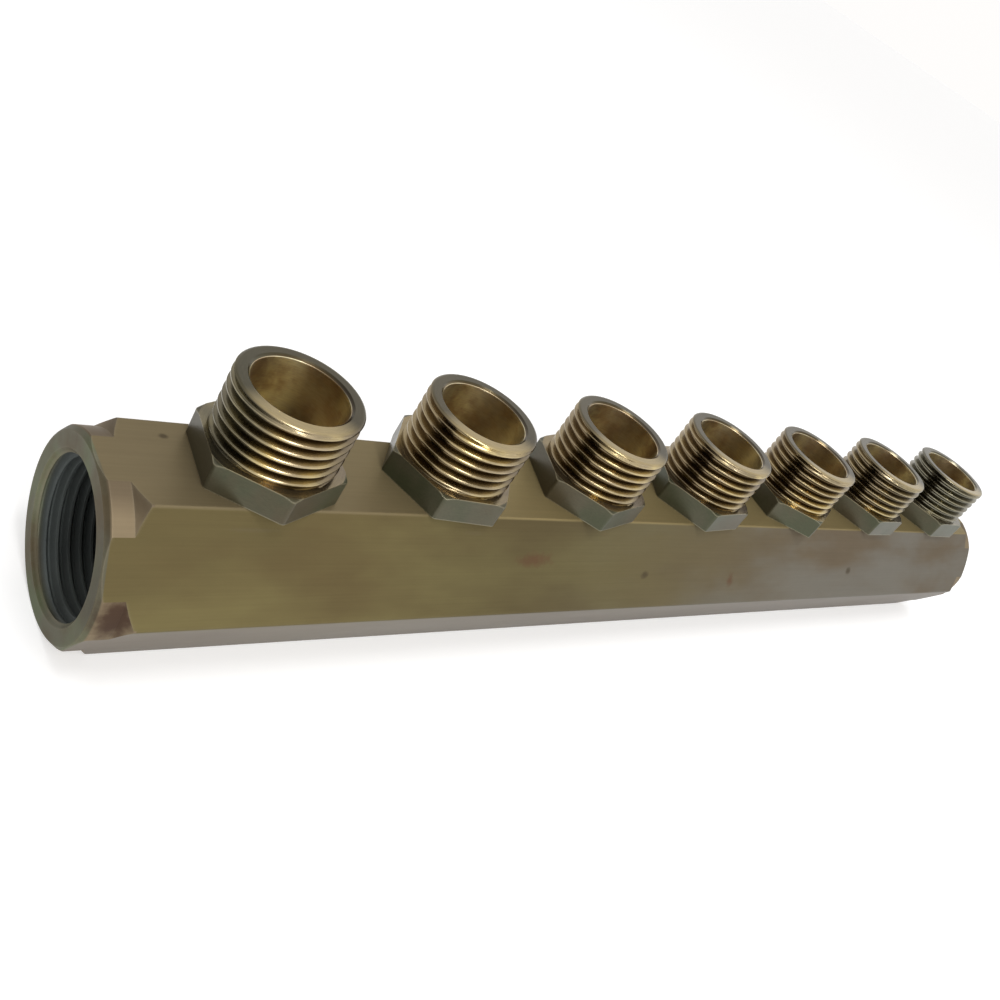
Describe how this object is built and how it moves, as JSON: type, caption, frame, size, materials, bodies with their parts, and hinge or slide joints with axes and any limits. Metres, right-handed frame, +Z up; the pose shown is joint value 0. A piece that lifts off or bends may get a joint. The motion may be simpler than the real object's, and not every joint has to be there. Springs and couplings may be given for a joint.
{
  "type": "bar manifold",
  "caption": "Hexagonal brass bar bored lengthwise and tapped at both ends, with a row of short hexagon nipples with male pipe threads screwed into one flat.",
  "frame": {"origin": "middle of the bottom flat, which the bar rests on", "axes": "+X along the bar from the inlet end to the far end, +Z up along the nipples"},
  "size_m": [0.268, 0.0368, 0.048],
  "materials": {
    "bar_brass": "drawn bar, tarnished to a dull olive brown",
    "nipple_brass": "machined and tarnished, brighter on the thread crests"
  },
  "bodies": {
    "root": {"manifold_bar": "bar_brass", "nipple_1": "nipple_brass", "nipple_2": "nipple_brass", "nipple_3": "nipple_brass", "nipple_4": "nipple_brass", "nipple_5": "nipple_brass", "nipple_6": "nipple_brass", "nipple_7": "nipple_brass"}
  },
  "joints": []
}
